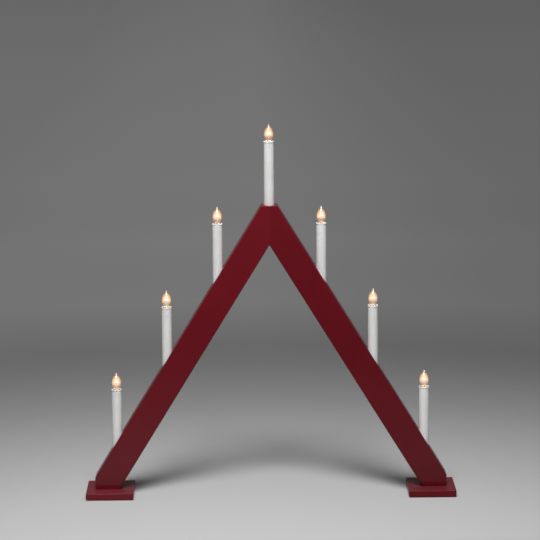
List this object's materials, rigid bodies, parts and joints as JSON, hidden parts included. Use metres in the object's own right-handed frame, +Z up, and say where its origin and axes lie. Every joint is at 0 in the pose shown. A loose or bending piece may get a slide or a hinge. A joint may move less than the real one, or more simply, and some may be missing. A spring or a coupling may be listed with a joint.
{
  "type": "electric candlestick",
  "caption": "Triangular window candlestick of two mitred lacquered legs on square feet, with a row of white candle tubes each holding a small screw lamp.",
  "frame": {"origin": "on the floor, midway between the two feet", "axes": "+Z up, +X to the right seen from the front, the front faces -Y"},
  "size_m": [0.6, 0.078, 0.6064],
  "materials": {
    "lacquer": "dark red glossy lacquer on solid wood, light edges, faint brush and dust marks",
    "tube_plastic": "smooth white candle tube, slightly translucent",
    "holder_plastic": "warm white moulded lamp holder",
    "brass": "rolled brass lamp cap",
    "black_insulator": "black glassy insulator with a solder contact",
    "lamp_glass": "clear thin glass in a warm glow",
    "filament_metal": "bare lead wires, glass stem and glowing filament",
    "beech": "plain beech dowel",
    "zinc_steel": "zinc plated screw",
    "white_nylon": "white nylon bush",
    "wire_sheath": "white insulated wire",
    "felt": "dark felt pad"
  },
  "bodies": {
    "stand": {"leg_left": "lacquer", "leg_right": "lacquer", "foot_left": "lacquer", "foot_right": "lacquer", "felt_pad_left": "felt", "felt_pad_right": "felt", "foot_screw_left_inner": "zinc_steel", "foot_screw_left_outer": "zinc_steel", "foot_screw_right_inner": "zinc_steel", "foot_screw_right_outer": "zinc_steel", "back_cover_left": "lacquer", "back_cover_right": "lacquer", "wiring_left": "wire_sheath", "wiring_right": "wire_sheath", "apex_dowel_upper": "beech", "apex_dowel_lower": "beech", "cord_gland": "white_nylon", "candle_tube_1": "tube_plastic", "lamp_holder_1": "holder_plastic", "candle_tube_2": "tube_plastic", "lamp_holder_2": "holder_plastic", "candle_tube_3": "tube_plastic", "lamp_holder_3": "holder_plastic", "candle_tube_4": "tube_plastic", "lamp_holder_4": "holder_plastic", "candle_tube_5": "tube_plastic", "lamp_holder_5": "holder_plastic", "candle_tube_6": "tube_plastic", "lamp_holder_6": "holder_plastic", "candle_tube_7": "tube_plastic", "lamp_holder_7": "holder_plastic"},
    "lamp_thread_1": {"bulb_insulator_1": "black_insulator"},
    "lamp_1": {"bulb_cap_1": "brass", "bulb_glass_1": "lamp_glass", "bulb_filament_1": "filament_metal"},
    "lamp_thread_2": {"bulb_insulator_2": "black_insulator"},
    "lamp_2": {"bulb_cap_2": "brass", "bulb_glass_2": "lamp_glass", "bulb_filament_2": "filament_metal"},
    "lamp_thread_3": {"bulb_insulator_3": "black_insulator"},
    "lamp_3": {"bulb_cap_3": "brass", "bulb_glass_3": "lamp_glass", "bulb_filament_3": "filament_metal"},
    "lamp_thread_4": {"bulb_insulator_4": "black_insulator"},
    "lamp_4": {"bulb_cap_4": "brass", "bulb_glass_4": "lamp_glass", "bulb_filament_4": "filament_metal"},
    "lamp_thread_5": {"bulb_insulator_5": "black_insulator"},
    "lamp_5": {"bulb_cap_5": "brass", "bulb_glass_5": "lamp_glass", "bulb_filament_5": "filament_metal"},
    "lamp_thread_6": {"bulb_insulator_6": "black_insulator"},
    "lamp_6": {"bulb_cap_6": "brass", "bulb_glass_6": "lamp_glass", "bulb_filament_6": "filament_metal"},
    "lamp_thread_7": {"bulb_insulator_7": "black_insulator"},
    "lamp_7": {"bulb_cap_7": "brass", "bulb_glass_7": "lamp_glass", "bulb_filament_7": "filament_metal"}
  },
  "joints": [
    {"name": "lamp_1_lift", "type": "slide", "parent": "stand", "child": "lamp_thread_1", "axis": [0, 0, 1], "range_m": [0, 0.00724]},
    {"name": "lamp_1_turn", "type": "hinge", "parent": "lamp_thread_1", "child": "lamp_1", "pos_m": [-0.249, 0, 0.17612], "axis": [0, 0, 1], "range_deg": [0, 1440]},
    {"name": "lamp_2_lift", "type": "slide", "parent": "stand", "child": "lamp_thread_2", "axis": [0, 0, 1], "range_m": [0, 0.00724]},
    {"name": "lamp_2_turn", "type": "hinge", "parent": "lamp_thread_2", "child": "lamp_2", "pos_m": [-0.166, 0, 0.31141], "axis": [0, 0, 1], "range_deg": [0, 1440]},
    {"name": "lamp_3_lift", "type": "slide", "parent": "stand", "child": "lamp_thread_3", "axis": [0, 0, 1], "range_m": [0, 0.00724]},
    {"name": "lamp_3_turn", "type": "hinge", "parent": "lamp_thread_3", "child": "lamp_3", "pos_m": [-0.083, 0, 0.44669], "axis": [0, 0, 1], "range_deg": [0, 1440]},
    {"name": "lamp_4_lift", "type": "slide", "parent": "stand", "child": "lamp_thread_4", "axis": [0, 0, 1], "range_m": [0, 0.00724]},
    {"name": "lamp_4_turn", "type": "hinge", "parent": "lamp_thread_4", "child": "lamp_4", "pos_m": [0, 0, 0.579], "axis": [0, 0, 1], "range_deg": [0, 1440]},
    {"name": "lamp_5_lift", "type": "slide", "parent": "stand", "child": "lamp_thread_5", "axis": [0, 0, 1], "range_m": [0, 0.00724]},
    {"name": "lamp_5_turn", "type": "hinge", "parent": "lamp_thread_5", "child": "lamp_5", "pos_m": [0.083, 0, 0.44669], "axis": [0, 0, 1], "range_deg": [0, 1440]},
    {"name": "lamp_6_lift", "type": "slide", "parent": "stand", "child": "lamp_thread_6", "axis": [0, 0, 1], "range_m": [0, 0.00724]},
    {"name": "lamp_6_turn", "type": "hinge", "parent": "lamp_thread_6", "child": "lamp_6", "pos_m": [0.166, 0, 0.31141], "axis": [0, 0, 1], "range_deg": [0, 1440]},
    {"name": "lamp_7_lift", "type": "slide", "parent": "stand", "child": "lamp_thread_7", "axis": [0, 0, 1], "range_m": [0, 0.00724]},
    {"name": "lamp_7_turn", "type": "hinge", "parent": "lamp_thread_7", "child": "lamp_7", "pos_m": [0.249, 0, 0.17612], "axis": [0, 0, 1], "range_deg": [0, 1440]}
  ],
  "couplings": [
    {"joint": "lamp_1_lift", "follows": "lamp_1_turn", "m_per_rad": 0.00028807},
    {"joint": "lamp_2_lift", "follows": "lamp_2_turn", "m_per_rad": 0.00028807},
    {"joint": "lamp_3_lift", "follows": "lamp_3_turn", "m_per_rad": 0.00028807},
    {"joint": "lamp_4_lift", "follows": "lamp_4_turn", "m_per_rad": 0.00028807},
    {"joint": "lamp_5_lift", "follows": "lamp_5_turn", "m_per_rad": 0.00028807},
    {"joint": "lamp_6_lift", "follows": "lamp_6_turn", "m_per_rad": 0.00028807},
    {"joint": "lamp_7_lift", "follows": "lamp_7_turn", "m_per_rad": 0.00028807}
  ]
}
